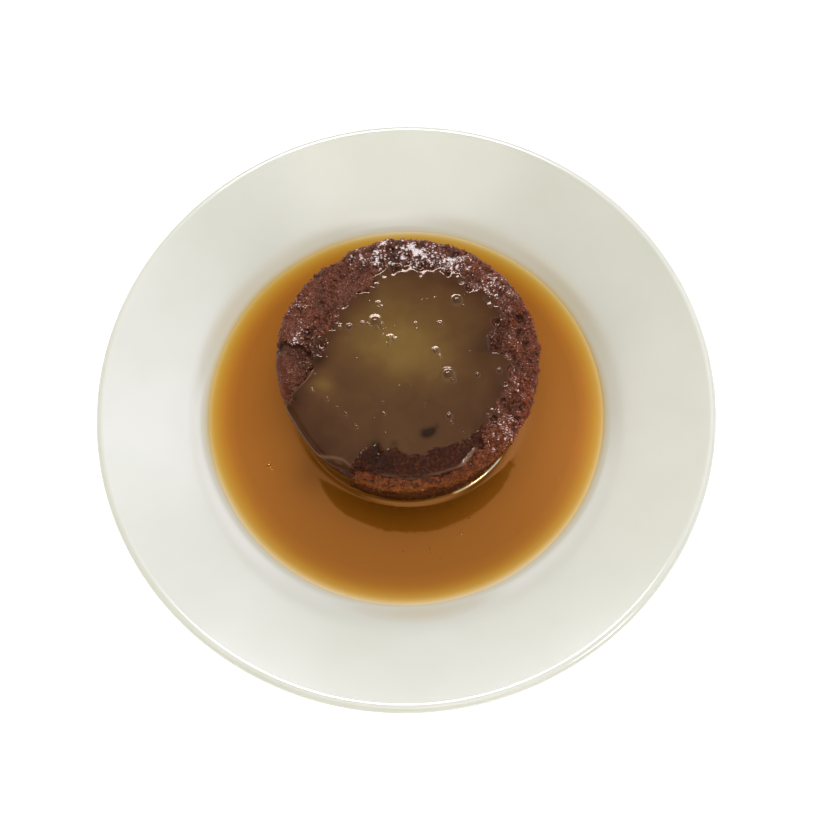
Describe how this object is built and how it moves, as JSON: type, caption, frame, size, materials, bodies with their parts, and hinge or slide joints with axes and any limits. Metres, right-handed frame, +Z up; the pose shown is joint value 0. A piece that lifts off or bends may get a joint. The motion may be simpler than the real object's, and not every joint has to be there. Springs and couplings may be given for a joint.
{
  "type": "sticky date pudding",
  "caption": "Round date sponge pudding glazed with toffee sauce, standing in a pool of the sauce on a wide-rimmed white plate.",
  "frame": {"origin": "middle of the plate, at the underside of its foot ring", "axes": "+Z up through the plate's middle; -Y towards the diner, +X to the diner's right"},
  "size_m": [0.23, 0.23, 0.0513],
  "materials": {
    "white_glazed_china": "glossy glaze",
    "toffee_sauce": "wet and glossy",
    "date_sponge": "moist crumb",
    "toffee_glaze": "wet and glossy"
  },
  "bodies": {
    "root": {"plate": "white_glazed_china", "toffee_pool": "toffee_sauce", "date_pudding": "date_sponge", "toffee_glaze": "toffee_glaze"}
  },
  "joints": []
}
